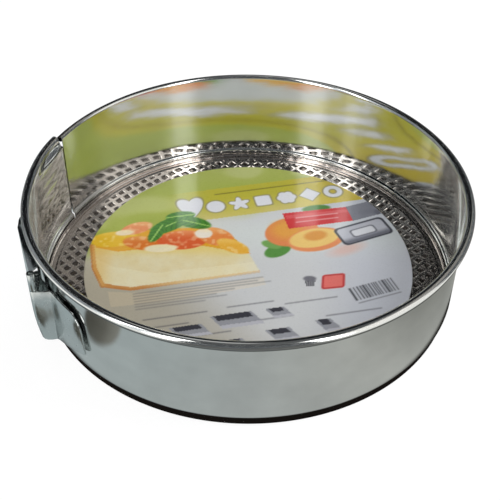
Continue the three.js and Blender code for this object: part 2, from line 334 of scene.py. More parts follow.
def strip_uv(azimuth, across):
    """UV in millimetres: along the wall, and across the strip."""
    return np.stack([np.full(len(across), math.radians(azimuth) * WALL_R), across], 1)


def sweep_normals(verts, rings, around):
    """Vertex normals from central differences along and round the sweep."""
    grid = verts.reshape(rings, around, 3)
    along = np.gradient(grid, axis=0)
    across = np.roll(grid, -1, axis=1) - np.roll(grid, 1, axis=1)
    # at the ends, the exact tangent of a circle, so that neighbouring parts match
    for end in (0, rings - 1):
        points = grid[end]
        tangent = np.stack([-points[:, 1], points[:, 0], np.zeros(around)], 1)
        along[end] = tangent * (1 if np.dot(along[end][0], tangent[0]) > 0 else -1)
    normals = np.cross(along, across).reshape(-1, 3)
    return normals / np.maximum(np.linalg.norm(normals, axis=1), 1e-9)[:, None]


def sweep(name, rings, uvs, rim_shade=1.0):
    """Skin over equal rings of points, closed by a flat cap at each end."""
    count, around = len(rings), len(rings[0])
    verts = np.concatenate(rings)
    faces = []
    for i in range(count - 1):
        here, there = i * around, (i + 1) * around
        for j in range(around):
            k = (j + 1) % around
            faces.append((here + j, there + j, there + k, here + k))
    a, b, c, d = (verts[corner] for corner in np.array(faces).T)
    volume = np.sum(a * np.cross(b, c) + a * np.cross(c, d))
    faces.append(tuple(range(around)))
    faces.append(tuple((count - 1) * around + j for j in range(around - 1, -1, -1)))
    ob = make_mesh(name, verts, faces, uv=np.concatenate(uvs))
    mesh = ob.data
    if volume < 0:
        mesh.flip_normals()

    # corner normals: computed ones turned to the side of their face, flat on the caps
    sizes = read_array(mesh.polygons, "loop_total")
    face_normals = np.zeros(len(mesh.polygons) * 3)
    mesh.polygons.foreach_get("normal", face_normals)
    face_of = np.repeat(np.arange(len(mesh.polygons)), sizes)
    flat = face_normals.reshape(-1, 3)[face_of]
    normals = sweep_normals(verts, count, around)[read_array(mesh.loops, "vertex_index")]
    side = np.sign(np.einsum("ij,ij->i", normals, flat))
    side[side == 0] = 1
    normals *= side[:, None]
    cap = sizes[face_of] > 4
    normals[cap] = flat[cap]
    mesh.normals_split_custom_set([tuple(n) for n in normals])
    # painted shade under the rim, one value per vertex (1 where unshaded)
    colour_points(mesh, "RimShade", rim_shade)
    mesh.materials.append(TIN)
    return ob


def strip_section(rim_r):
    """Closed section (radius, z) of the strip, from the foot lip to the curled rim."""
    middle = [(126.85, LIP_Z), (127.5, LIP_Z)]
    middle += arc(FOOT_R - FOOT_BEND, LIP_Z + FOOT_BEND, FOOT_BEND, -90, 0, 7)
    middle += [(FOOT_R, z) for z in (2.5, 4.2, 5.6)]
    middle += [(FOOT_R + (WALL_R - FOOT_R) * float(smooth(t)), 5.9 + 1.5 * t)
               for t in np.linspace(0, 1, 9)]
    rim_z = HEIGHT - rim_r
    middle += [(WALL_R, z) for z in np.linspace(8.2, rim_z - 0.8, 34)]
    curl_r = rim_r - SHEET / 2
    middle += arc(WALL_R + curl_r, rim_z, curl_r, 180, -142, 34)
    return np.concatenate([offset_line(middle, -SHEET / 2),
                           offset_line(middle, SHEET / 2)[::-1]])


def strip_part(name, azimuths, rim_at, shift_at=None):
    """Sweep the section. rim_at(azimuth) is the rim's radius; shift_at(azimuth, z) moves
    the sheet outwards."""
    rings, uvs, rim_shade = [], [], []
    for azimuth in azimuths:
        rim_r = rim_at(azimuth)
        section = strip_section(rim_r)
        radius, z = section.T
        # painted shade on the rim: darker from its outermost line down round its underside
        angle = np.degrees(np.arctan2(z - (HEIGHT - rim_r),
                                      radius - (WALL_R + rim_r - SHEET / 2)))
        on_rim = (z > HEIGHT - 2 * rim_r - 0.5) & (radius > WALL_R + 0.6)
        rim_shade.append(np.where(on_rim & (angle < 14),
                             0.25 + 0.75 * smooth((angle + 4) / 18.0), 1.0))
        steps = np.linalg.norm(np.diff(section, axis=0), axis=1)
        uvs.append(strip_uv(azimuth, np.concatenate([[0], np.cumsum(steps)])))
        if shift_at:
            radius = radius + shift_at(azimuth, z)
        rings.append(ring_at(radius, z, azimuth))
    return sweep(name, rings, uvs, np.concatenate(rim_shade)[:, None])


def rear_rim(azimuth):
    """Rolled tighter towards the free end, to slide into the front strip's roll."""
    return RIM_R - REAR_RIM_CUT * float(smooth((azimuth - 30.0) / 60.0))


def flap_shift(azimuth, z):
    """Slack free end of the front strip: bowed inwards, rippled, its rim sprung out."""
    along = min(1.0, max(0.0, (azimuth - FLAP_AZ) / FLAP_SPAN))
    # 6.75 brings the peak of the bow's curve to 1
    bow = FLAP_BOW * 6.75 * along * (1 - along) ** 2
    bow = bow * smooth((z - 8.0) / 14.0) * smooth((66.0 - z) / 5.0)
    ripple = FLAP_RIPPLE * smooth((1 - along) * 4)
    ripple = ripple * np.sin(z * TURN / RIPPLE_PITCH + 0.6 * math.sin(5 * along))
    ripple = ripple * smooth((z - 10.0) / 6.0) * smooth((60 - z) / 3.0)
    flare = FLAP_FLARE * smooth((183.0 - azimuth) / FLAP_SPAN) * smooth((z - 60.6) / 3.4)
    return -bow - ripple + flare


def build_front_strip():
    azimuths = np.concatenate([np.linspace(FLAP_AZ, 182, 40),
                               np.linspace(182, 360 + SEAM_AZ, 254)[1:]])
    band = strip_part("band_front_strip", azimuths, lambda azimuth: RIM_R, flap_shift)
    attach(band, "ring_front")
    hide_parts("band_front")


def build_rear_strip():
    band = strip_part("band_rear_strip", np.linspace(SEAM_AZ, FLAP_AZ - 0.5, 178), rear_rim)
    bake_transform(band)
    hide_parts("band_rear")


def build_tongue():
    rings, uvs = [], []
    for azimuth in np.linspace(TONGUE_ROOT_AZ - 0.4, TONGUE_END_AZ, 80):
        # the corners of its end are rounded off
        left = (TONGUE_END_AZ - azimuth) * math.radians(1) * 131
        inset = TONGUE_CORNER - min(left, TONGUE_CORNER)
        cut = TONGUE_CORNER - math.sqrt(max(0.0, TONGUE_CORNER ** 2 - inset ** 2))
        heights = np.linspace(TONGUE_LOW + cut, TONGUE_HIGH - cut, 12)
        ease = float(smooth((azimuth - TONGUE_ROOT_AZ) / TONGUE_EASE))
        middle = TONGUE_ROOT_R + (TONGUE_R - TONGUE_ROOT_R) * ease
        radius = np.repeat([middle - TONGUE_HALF_SHEET, middle + TONGUE_HALF_SHEET], 12)
        z = np.concatenate([heights, heights[::-1]])
        rings.append(ring_at(radius, z, azimuth))
        uvs.append(strip_uv(azimuth, z))
    tongue = sweep("band_rear_tongue", rings, uvs)
    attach(tongue, "ring_rear")


build_front_strip()
build_rear_strip()
build_tongue()


# ------------------------------------------------------------------ floor
# grid lines within one pitch: close together on the slopes of the upper face
TOP_LINES = [0.0, 0.135, 0.17, 0.205, 0.245, 0.37, 0.63, 0.755, 0.795, 0.83, 0.865]
LOW_LINES = [0.0, 0.25, 0.5, 0.75]


def waffle_height(u, v):
    """Lattice of flat ribs (1) with rounded square wells (0) between; u, v in pitches."""
    du = np.abs((u % 1.0) - 0.5) * 2        # 0 at the well's middle, 1 on the rib
    dv = np.abs((v % 1.0) - 0.5) * 2
    distance = 0.65 * np.maximum(du, dv) + 0.35 * (du ** 4 + dv ** 4) ** 0.25
    return smooth((distance - 0.50) / 0.21)


def waffle_patch(cell, z_low, z_high, z_edge):
    """Grid over the embossed disc: vertices, faces, boundary (anticlockwise) and the rise
    of each vertex from well to rib (0 to 1)."""
    reach = int(WAFFLE_R / PITCH) + 3
    lines = np.concatenate([k + np.asarray(cell) for k in range(-reach, reach)])
    count = len(lines)
    u, v = np.meshgrid(lines, lines, indexing="ij")
    cosine, sine = math.cos(math.radians(LATTICE_TURN)), math.sin(math.radians(LATTICE_TURN))
    x = u * PITCH * cosine - v * PITCH * sine
    y = u * PITCH * sine + v * PITCH * cosine
    radius = np.hypot(x, y)
    fade = smooth((WAFFLE_R - radius) / 1.5)
    wave = waffle_height(u, v)
    rise = 1 - (1 - wave) * fade
    z = z_edge + (z_low + (z_high - z_low) * wave - z_edge) * fade

    # keep each cell with a corner inside, and pull its outer corners onto the circle
    inside = radius < WAFFLE_R - 0.25
    keep = inside[:-1, :-1] | inside[1:, :-1] | inside[1:, 1:] | inside[:-1, 1:]
    used = np.zeros_like(inside)
    for i, j in ((0, 0), (1, 0), (1, 1), (0, 1)):
        used[i:count - 1 + i, j:count - 1 + j] |= keep
    outer = used & ~inside
    x = np.where(outer, x / radius * WAFFLE_R, x)
    y = np.where(outer, y / radius * WAFFLE_R, y)
    z = np.where(outer, z_edge, z)
    chosen = np.flatnonzero(used.ravel())
    index = -np.ones(count * count, int)
    index[chosen] = np.arange(len(chosen))
    verts = np.stack([x.ravel(), y.ravel(), z.ravel()], 1)[chosen]
    i, j = np.nonzero(keep)
    first, second = i * count + j, (i + 1) * count + j
    quads = np.stack([index[first], index[second], index[second + 1], index[first + 1]], 1)
    faces = [tuple(quad) for quad in quads.tolist()]

    # boundary edges are those that no neighbouring face runs the other way
    edges = [edge for face in faces for edge in zip(face, face[1:] + face[:1])]
    present = set(edges)
    following = {a: b for a, b in edges if (b, a) not in present}
    loop = [next(iter(following))]
    while following[loop[-1]] != loop[0]:
        loop.append(following[loop[-1]])
    return verts, faces, loop, rise.ravel()[chosen]


def zip_loops(inner, outer, inner_angles, outer_angles):
    """Triangles between two closed loops with rising angles."""
    faces = []
    i_end, j_end = len(inner), len(outer)
    inner = [*inner, inner[0]]
    outer = [*outer, outer[0]]
    inner_angles = np.append(inner_angles, inner_angles[0] + TURN)
    outer_angles = np.append(outer_angles, outer_angles[0] + TURN)
    i = j = 0
    while i < i_end or j < j_end:
        inner_next = inner_angles[min(i + 1, i_end)]
        outer_next = outer_angles[min(j + 1, j_end)]
        if j >= j_end or (i < i_end and inner_next <= outer_next):
            faces.append((inner[i], outer[j], inner[i + 1]))
            i += 1
        else:
            faces.append((inner[i], outer[j], outer[j + 1]))
            j += 1
    return faces


def border_profile():
    """Section (radius, z) of the border, from the top of the disc out over the upturned
    edge and back to the disc's underside."""
    step = np.linspace(0, 1, 5)
    profile = [(123.5, 1.10)]
    profile += [(123.7 + 1.2 * t, 1.10 + 0.42 * float(smooth(t))) for t in step]
    profile += [(125.3, 1.54), (126.1, 1.54)]
    profile += arc(126.75, 2.35, 0.80, -90, 0, 6)
    profile += [(127.55, 3.2), (127.55, 4.0), (127.62, 4.15)]
    profile += [(127.85, 4.2), (128.0, 4.05), (128.0, 3.2)]
    profile += arc(126.75, 2.30, 1.25, 0, -90, 7)
    profile += [(125.4, 1.04), (125.15, 1.02)]
    profile += [(124.9 - 1.2 * t, 1.02 - 0.52 * float(smooth(t))) for t in step]
    return profile + [(123.5, 0.50)]


def floor_mesh():
    """Vertices and faces of the floor, and the rise of the ribs for each vertex."""
    top_verts, top_faces, top_loop, top_rise = waffle_patch(
        TOP_LINES, z_low=0.70, z_high=1.20, z_edge=1.10)
    low_verts, low_faces, low_loop, _ = waffle_patch(
        LOW_LINES, z_low=0.06, z_high=0.62, z_edge=0.50)
    top_count = len(top_verts)
    verts = [top_verts, low_verts]
    faces = top_faces + [tuple(k + top_count for k in reversed(face)) for face in low_faces]
    count = top_count + len(low_verts)

    # the pressed border isn't quite even
    angles = np.linspace(0, TURN, BORDER_STEPS, endpoint=False)
    dent = np.random.default_rng(11).normal(0, 1, BORDER_STEPS)
    dent = np.clip((dent + np.roll(dent, 1)) * 0.7, -1.6, 1.6)
    rings = []
    for radius, z in border_profile():
        uneven = 0.05 * float(smooth((radius - 123.0) / 3.0)) * dent
        reach = radius - np.abs(uneven)
        verts.append(np.stack([reach * np.cos(angles), reach * np.sin(angles),
                               z + 0.6 * uneven * (z < 4.0)], 1))
        rings.append(list(range(count, count + BORDER_STEPS)))
        count += BORDER_STEPS
    for a, b in zip(rings[:-1], rings[1:]):
        for i in range(BORDER_STEPS):
            j = (i + 1) % BORDER_STEPS
            faces.append((a[j], a[i], b[i], b[j]))
    verts = np.concatenate(verts)

    def loop_angles(loop):
        return np.unwrap(np.arctan2(verts[loop, 1], verts[loop, 0]))

    def join(loop, ring):
        """Triangles from a patch's boundary, begun at its smallest angle, to a ring."""
        first = int(np.argmin(np.mod(loop_angles(loop), TURN)))
        loop = loop[first:] + loop[:first]
        return zip_loops(loop, ring, loop_angles(loop), angles)

    faces += join(top_loop, rings[0])
    low_join = join([k + top_count for k in low_loop], rings[-1])
    faces += [tuple(reversed(face)) for face in low_join]
    rise = np.ones(count)
    rise[:top_count] = top_rise
    return verts, faces, rise


def build_floor():
    verts, faces, rise = floor_mesh()
    floor = make_mesh("embossed_floor", verts, faces)
    colour_points(floor.data, "Rib", rise[:, None])
    floor.data.materials.append(FLOOR)
    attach(floor, "floor")
    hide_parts("base_plate")


build_floor()


# ------------------------------------------------------------------ print on the card, with painted shade
# Outlines are (x, y) in millimetres on the card; colours are display red, green, blue.
CAKE_BODY = [(-104, 20), (-100, -4), (-92, -21), (-74, -23), (-40, -17),
             (8, -5), (2, 10), (-8, 24), (-40, 22), (-80, 20)]
CAKE_LIGHT = [(-102, 8), (-92, -21), (-74, -23), (8, -5), (4, 4), (-60, -8), (-88, -2)]
CAKE_CRUST = [(-106, 21), (-101, -4), (-93, -22), (-74, -25), (8, -6.5),
              (8, -4), (-74, -21.6), (-91, -18.5), (-98, -3), (-102.5, 20)]
CAKE_TOP = [(-104, 26), (-88, 34), (-60, 37), (-30, 40), (-10, 30),
            (2, 12), (-30, 20), (-62, 18), (-86, 13), (-101, 17)]
CAKE_MIRROR = [(-88, -26), (-60, -27), (10, -10), (12, -18), (-40, -32), (-84, -40)]
RED_TAB = [(24, 56), (70, 64.5), (74, 49), (28, 39)]
RED_TAB_SHEEN = [(26, 53.5), (69, 61.5), (70, 58.5), (27, 50.0)]
DARK_TAB = [(69, 64.5), (94, 74.5), (98, 59), (73, 48.5)]
END_TAB = [(94, 74.5), (103, 70), (104, 60), (98, 59)]

# ellipses: centre x, y, half axes, tilt in degrees (and colour)
TOPPINGS = [
    (-90, 26, 16, 8, 8, (236, 190, 32)), (-70, 22, 14, 7, -10, (226, 120, 34)),
    (-76, 38, 11, 6, 25, (240, 150, 96)), (-44, 26, 17, 10, 6, (226, 96, 44)),
    (-22, 30, 13, 9, -25, (238, 140, 70)), (-10, 20, 12, 6, -30, (240, 180, 60)),
    (-58, 17, 11, 4, 4, (244, 232, 196)), (-30, 33, 6, 5, 0, (246, 236, 220)),
    (-84, 33, 6, 3, 10, (246, 226, 190))]
CAKE_LEAVES = [(-54, 42, 15, 6.5, 38), (-38, 45, 13, 6, -18),
               (-62, 33, 10, 4.5, 70), (-47, 52, 10, 5, 12)]
# the same, then edge softness and strength
FRUIT = [
    (20, 16, 10, 6, 35, (92, 150, 70), 1.0, 1.0),
    (16, 22, 7, 4, -20, (120, 170, 90), 1.0, 1.0),
    (48, 62, 10, 4, 10, (70, 130, 50), 1.0, 1.0),
    (30, 36, 19, 15, 25, (232, 140, 84), 1.0, 1.0),
    (27, 38, 11, 10, 10, (236, 176, 70), 8.0, 0.7),
    (46, 28, 20, 12, 18, (238, 150, 96), 1.0, 1.0),
    (45, 29.5, 17.5, 9.6, 18, (246, 208, 124), 1.0, 1.0),
    (46, 32, 8, 5, 18, (226, 150, 70), 2.0, 0.8),
    (66, 18, 12, 5, 25, (240, 180, 160), 5.0, 0.5)]

TEXT_TILT = 12.0
PARAGRAPH = (84, 80, 88, 64, 52, 58, 44)            # lengths of its lines
# centre x, y, length
LOOSE_LINES = [(-44, -47, 40), (2, -36, 30), (-26, -63, 34), (40, -32, 34),
               (12, -49, 34), (66, -42, 36), (-50, -56, 30)]
# centre x, y, width, half height
TRAYS = [(-34, -60, 20, 5), (-6, -50, 26, 6), (20, -43, 12, 4.5),
         (22, -62, 15, 5.5), (50, -54, 10, 6), (-10, -72, 22, 5)]


def star(u, v):
    return np.hypot(u, v) - (0.80 + 0.26 * np.cos(5 * (np.arctan2(v, u) - math.pi / 2)))


def rounded_square(u, v):
    return np.maximum(np.abs(u), np.abs(v)) * 0.55 + 0.45 * (u ** 4 + v ** 4) ** 0.25 - 0.80


# row of cutter shapes: size, and a function negative inside the shape of size 1
CUTTERS = [
    (9.2, lambda u, v: np.sqrt(u * u + (v * 0.95 - 0.806 * np.abs(u) ** 0.8) ** 2) - 1.0),
    (7.0, lambda u, v: np.hypot(u, v) - 0.92),
    (7.0, star),
    (7.0, rounded_square),
    (7.0, lambda u, v: np.hypot(u, v) - (0.84 + 0.16 * np.abs(np.cos(3 * np.arctan2(v, u))))),
    (7.0, lambda u, v: np.abs(u) + np.abs(v) - 1.08),
    (7.0, lambda u, v: np.abs(np.hypot(u, v) - 0.70) - 0.27)]


def inside_outline(x, y, outline):
    result = np.zeros(x.shape, bool)
    for (x1, y1), (x2, y2) in zip(outline, outline[1:] + outline[:1]):
        if y1 != y2:
            crossed = (y1 > y) != (y2 > y)
            result ^= crossed & (x < (x2 - x1) * (y - y1) / (y2 - y1) + x1)
    return result


def value_noise(x, y, scale, seed):
    table = np.random.default_rng(seed).random((64, 64))
    u, v = x / scale, y / scale
    i, j = np.floor(u).astype(int), np.floor(v).astype(int)
    fu, fv = smooth(u - i), smooth(v - j)

    def at(a, b):
        return table[a % 64, b % 64]

    near = at(i, j) * (1 - fu) + at(i + 1, j) * fu
    far = at(i, j + 1) * (1 - fu) + at(i + 1, j + 1) * fu
    return near * (1 - fv) + far * fv


def soft(distance, width=1.0):
    """1 inside (negative distance), 0 outside, with an edge of the given width."""
    return np.clip(0.5 - distance / width, 0, 1)


def rule(along, across, half_length, half_width):
    return soft(np.abs(across) - half_width, 1.1) * soft(np.abs(along) - half_length)


def rounded_box(u, v, half_u, half_v, corner):
    """Distance from a box with rounded corners."""
    return np.hypot(np.maximum(np.abs(u) - half_u + corner, 0),
                    np.maximum(np.abs(v) - half_v + corner, 0)) - corner


class PrintAndShade:
    """Colours of the card's print, and of painted shade, at the points x, y, laid on one over
    another.
    """

    def __init__(self, x, y):
        self.x, self.y = x, y
        self.colour = np.zeros(x.shape + (3,))
        # cloudy, mottled and fine variation
        self.cloud, self.mottle, self.fine = (
            value_noise(x + 200, y + 200, scale, seed)
            for scale, seed in ((22.0, 1), (7.0, 2), (2.6, 3)))

    def lay(self, mask, rgb):
        mask = np.clip(mask, 0, 1)[..., None]
        self.colour[:] = self.colour * (1 - mask) + np.asarray(rgb) / 255.0 * mask

    def poly(self, outline):
        return inside_outline(self.x, self.y, outline).astype(float)

    def tilted(self, cx, cy, degrees):
        """Coordinates along and across a direction through (cx, cy)."""
        cosine, sine = math.cos(math.radians(degrees)), math.sin(math.radians(degrees))
        dx, dy = self.x - cx, self.y - cy
        return dx * cosine + dy * sine, -dx * sine + dy * cosine

    def blob(self, cx, cy, rx, ry, tilt=0.0, edge=1.0):
        u, v = self.tilted(cx, cy, tilt)
        return soft((np.hypot(u / rx, v / ry) - 1) * min(rx, ry), edge)


def print_ground_and_shade(p):
    """Pale lilac grey, turning yellow green at the rear and left, with painted shade at the
    left front.
    """
    x, y, cloud = p.x, p.y, p.cloud
    p.lay(np.ones(x.shape), (213, 215, 216))
    p.lay(smooth((-x + 0.4 * y - 10) / 70) * 0.8, (222, 216, 196))
    # painted shade of the front wall: darker towards the left front
    p.lay(smooth((-x - 0.8 * y - 20) / 70) * 0.7, (170, 161, 140))
    p.lay(smooth((x - 30) / 50) * 0.7, (206, 210, 222))
    p.lay(smooth((y + 4 - 0.05 * x) / 40) * smooth((60 - y) / 30) * 0.6, (222, 230, 226))
    rear = smooth((y - 50 - 0.22 * x + 12 * (cloud - 0.5)) / 26.0) * smooth((85 - x) / 60.0)
    left = smooth((-x - 42 + 0.5 * (y - 8)) / 30.0) * smooth((y + 2) / 26)
    green = np.maximum(rear, left)
    share = cloud[..., None] * 0.45
    p.lay(green, np.array((158, 174, 58)) * (1 - share) + np.array((214, 218, 142)) * share)
    p.lay(green * smooth((y - 66) / 40) * 0.40, (200, 208, 132))
    p.lay(green * smooth((cloud - 0.55) / 0.2) * 0.30, (228, 230, 190))


def print_cutters(p):
    """Slanted gold band with the row of cutter shapes and a dark line."""
    along, across = p.tilted(0, 70, 13.0)
    band = (np.abs(across - 2.0) < 17.0) * smooth((along + 62) / 40)
    p.lay(band * (0.55 + 0.4 * smooth((along - 20) / 60)), (214, 190, 46))
    for k, (size, shape) in enumerate(CUTTERS):
        distance = shape((along + 41 - 17.2 * k) / size, (across + 1.5) / size) * size
        p.lay(soft(distance - 1.1, 0.9) * 0.75, (140, 134, 112))
        p.lay(soft(distance, 0.8), (232, 234, 240))
    p.lay(rule(along - 22, across - 12.4, 44, 0.55) * 0.65, (92, 88, 40))


def print_cake(p):
    """Slice of fruit cake with leaves, and its faint reflection below."""
    x, y = p.x, p.y
    body, crust = p.poly(CAKE_BODY), p.poly(CAKE_CRUST)
    fade = smooth((14 - x) / 26)            # fades out to the right
    p.lay(body * (0.55 + 0.45 * fade), (238, 228, 190))
    p.lay(body * (0.30 * p.mottle + 0.18 * p.fine) * fade, (226, 200, 128))
    p.lay(body * smooth((y - 6) / 12) * 0.55 * fade, (238, 206, 96))
    p.lay(p.poly(CAKE_LIGHT) * 0.35, (250, 244, 214))
    p.lay(crust * (0.5 + 0.4 * p.mottle) * smooth((-x - 34) / 40), (186, 100, 34))
    p.lay(crust * 0.35, (226, 170, 96))
    p.lay(body * smooth((-x - 84) / 14) * 0.5, (232, 186, 96))
    p.lay(p.poly(CAKE_TOP), (232, 170, 40))
    for cx, cy, rx, ry, tilt, rgb in TOPPINGS:
        piece = p.blob(cx, cy, rx, ry, tilt)
        p.lay(piece, rgb)
        p.lay(piece * smooth((y - cy) / ry) * 0.35, (255, 226, 150))
        p.lay(piece * smooth((p.fine - 0.55) / 0.3) * 0.4, (255, 240, 200))
    for leaf in CAKE_LEAVES:
        cx, cy, _, _, tilt = leaf
        blade = p.blob(*leaf)
        along, across = p.tilted(cx, cy, tilt)
        veins = np.abs((along + np.abs(across) * 0.8) % 4.2 - 2.1) < 0.7
        p.lay(blade, (72, 138, 44))
        p.lay(blade * veins * 0.5, (40, 96, 34))
        p.lay(blade * (np.abs(across) < 0.6), (150, 196, 96))
    p.lay(p.poly(CAKE_MIRROR) * 0.25, (246, 222, 180))


def print_tabs(p):
    """Red tab with two pale lines, mottled dark tab, small red end."""
    p.lay(p.poly(RED_TAB), (214, 58, 62))
    p.lay(p.poly(RED_TAB_SHEEN) * 0.35, (240, 150, 150))
    for side in (-1, 1):
        across = p.y - 51.6 - 0.2 * (p.x - 48) + 2.4 * side
        p.lay(rule(p.x - 48, across, 15, 0.5) * 0.7, (248, 236, 236))
    dark = p.poly(DARK_TAB)
    p.lay(dark, (110, 112, 124))
    p.lay(dark * smooth((p.mottle - 0.4) / 0.3) * 0.5, (160, 162, 172))
    p.lay(p.poly(END_TAB), (190, 40, 52))


def print_pan(p):
    """Pan seen from above: rounded outline, shaded inside, small plate in the middle."""
    u, v = p.tilted(79, 37.5, 24.0)
    inside = soft(rounded_box(u, v, 17.3, 8.0, 3.0), 0.8)
    p.lay(soft(rounded_box(u, v, 19, 9.5, 3.5), 0.8), (64, 66, 76))
    p.lay(inside, (196, 198, 208))
    p.lay(inside * smooth((-v - 1.5) / 6) * 0.8, (92, 94, 106))
    p.lay(soft(rounded_box(u, v, 9.5, 4.2, 2.4), 0.8), (120, 122, 132))
    p.lay(soft(rounded_box(u, v, 8.3, 3.2, 2.0), 0.8), (226, 228, 234))


def print_icons(p):
    """Small striped cup and small red rounded square."""
    x, y = p.x, p.y
    cup = (np.abs(x - 40) < 2.4 + 0.22 * (y + 19)) & (y > -19) & (y < -13.5)
    p.lay(cup * (0.45 + 0.4 * (((x - 40) % 1.5) < 0.8)), (70, 70, 76))
    p.lay(p.blob(40, -11.8, 4.2, 2.6), (120, 120, 128))
    square = rounded_box(x - 55 - 0.1 * (y + 14), y + 14 - 0.15 * (x - 55), 7.4, 6.8, 2.2)
    p.lay(soft(square, 0.8), (200, 60, 60))
    p.lay(soft(square + 1.4, 0.8), (236, 120, 112))
    p.lay(soft(square + 3.2, 1.5) * 0.6, (246, 190, 180))


def print_bars(p):
    """Upright bars of unequal width, with a line below."""
    along, across = p.tilted(80.5, -21, 21.0)
    random = np.random.default_rng(5)
    start = -15.5
    while start < 15.0:
        width = random.choice([0.7, 1.0, 1.5])
        bar = soft(np.abs(along - start - width / 2) - width / 2, 0.8)
        p.lay(bar * soft(np.abs(across) - 6.0, 0.8) * 0.85, (52, 54, 60))
        start += width + random.choice([0.8, 1.2, 1.6])
    p.lay(rule(along, across + 8.4, 15, 0.4) * 0.5, (70, 70, 76))


def print_text(p):
    """Fine grey rules in place of small text."""
    along, across = p.tilted(-72, -28, TEXT_TILT)
    for k, length in enumerate(PARAGRAPH):
        line = rule(along - length / 2, across + 2.4 * k, length / 2, 0.5)
        p.lay(line * 0.42, (96, 96, 104))
    for cx, cy, length in LOOSE_LINES:
        line = rule(*p.tilted(cx, cy, TEXT_TILT), length / 2, 0.45)
        p.lay(line * 0.55, (70, 70, 78))


def print_trays(p):
    """Small slanted bakeware shapes: body, dark inside, pale lower edge."""
    for cx, cy, width, half_height in TRAYS:
        along, across = p.tilted(cx, cy, TEXT_TILT)
        slanted = np.abs(along + across * 0.5)
        tray = (np.abs(across) < half_height) & (slanted < width / 2)
        inner = tray & (across > 0.2 * half_height) & (slanted < width / 2 - 2)
        p.lay(tray * 0.9, (150, 152, 160))
        p.lay(inner * 0.85, (48, 48, 56))
        p.lay((tray & (across < -0.5 * half_height)) * 0.7, (206, 206, 214))


def print_and_shade_colours(x, y):
    p = PrintAndShade(x, y)
    print_ground_and_shade(p)
    print_cutters(p)
    print_cake(p)
    for cx, cy, rx, ry, tilt, rgb, edge, strength in FRUIT:
        p.lay(p.blob(cx, cy, rx, ry, tilt, edge) * strength, rgb)
    print_tabs(p)
    print_pan(p)
    print_icons(p)
    print_bars(p)
    print_text(p)
    print_trays(p)
    return np.clip(p.colour, 0, 1)


# ------------------------------------------------------------------ card
def card_mesh():
    """Square grid mapped smoothly to a disc, with a rim wall and a flat underside."""
    n = CARD_GRID
    steps = np.linspace(-1, 1, n)
    a, b = np.meshgrid(steps, steps, indexing="ij")
    x = CARD_X + CARD_R * (a * np.sqrt(1 - b * b / 2))
    y = CARD_Y + CARD_R * (b * np.sqrt(1 - a * a / 2))
    # almost flat, with faint swells
    z = CARD_TOP + CARD_SWELL * (value_noise(x + 300, y + 300, 60.0, 7) - 0.5)
    top = np.stack([x.ravel(), y.ravel(), z.ravel()], 1)
    faces = [(i * n + j, (i + 1) * n + j, (i + 1) * n + j + 1, i * n + j + 1)
             for i in range(n - 1) for j in range(n - 1)]
    edge = [k for k in range(n - 1)]
    edge += [k * n + n - 1 for k in range(n - 1)]
    edge += [(n - 1) * n + k for k in range(n - 1, 0, -1)]
    edge += [k * n for k in range(n - 1, 0, -1)]
    low = top[edge].copy()
    low[:, 2] = CARD_TOP - CARD_T
    low_edge = list(range(len(top), len(top) + len(edge)))
    for k in range(len(edge)):
        after = (k + 1) % len(edge)
        faces.append((edge[k], edge[after], low_edge[after], low_edge[k]))
    faces.append(tuple(low_edge))

    verts = np.concatenate([top, low])
    ob = make_mesh("printed_card", verts, faces)
    rgb = print_and_shade_colours(verts[:, 0], verts[:, 1])
    linear = np.where(rgb <= 0.04045, rgb / 12.92, ((rgb + 0.055) / 1.055) ** 2.4)
    linear[len(top):] = 0.62                # plain underside
    colour_points(ob.data, "PrintAndShade", linear)
    return ob


def card_material():
    """Print and painted shade, with a fine grain under a thin coat."""
    material, tree, shader = new_material("card_print")
    printed = point_layer(tree, "PrintAndShade")
    position = node(tree, "TexCoord").outputs["Object"]
    grain = noise(tree, position, scale=900.0, detail=4.0, roughness=0.7)
    tone = ramp(tree, grain, [(0.3, 0.95), (0.7, 1.0)])
    bump = node(tree, "Bump", {"Strength": 0.12, "Distance": 0.0001, "Height": grain})
    fill(tree, shader, {
        "Base Color": mix(tree, printed, tone, blend="MULTIPLY"),
        "Roughness": ramp(tree, grain, [(0.3, 0.26), (0.7, 0.34)]),
        "Specular IOR Level": 0.35,
        "Coat Weight": 0.30,
        "Coat Roughness": 0.10,
        "Normal": bump.outputs["Normal"]})
    return material


def build_card():
    material = card_material()
    card = card_mesh()
    card.data.materials.append(material)
    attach(card, "card")
    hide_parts("paper_card")


build_card()


# ------------------------------------------------------------------ clasp
def finish_clasp():
    """The CAD pieces still shown get softened edges and the clasp's steel."""
    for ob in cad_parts.values():
        if ob.hide_render:
            continue
        ob.data.materials.clear()
        ob.data.materials.append(CLASP)
        ob.data.polygons.foreach_set("use_smooth", [True] * len(ob.data.polygons))
        weld = ob.modifiers.new("weld", "WELD")
        weld.merge_threshold = 0.00001
        bevel = ob.modifiers.new("edge", "BEVEL")
        bevel.width = 0.00014
        bevel.segments = 2
        bevel.limit_method = "ANGLE"
        bevel.angle_limit = math.radians(38)
        bevel.harden_normals = False


finish_clasp()


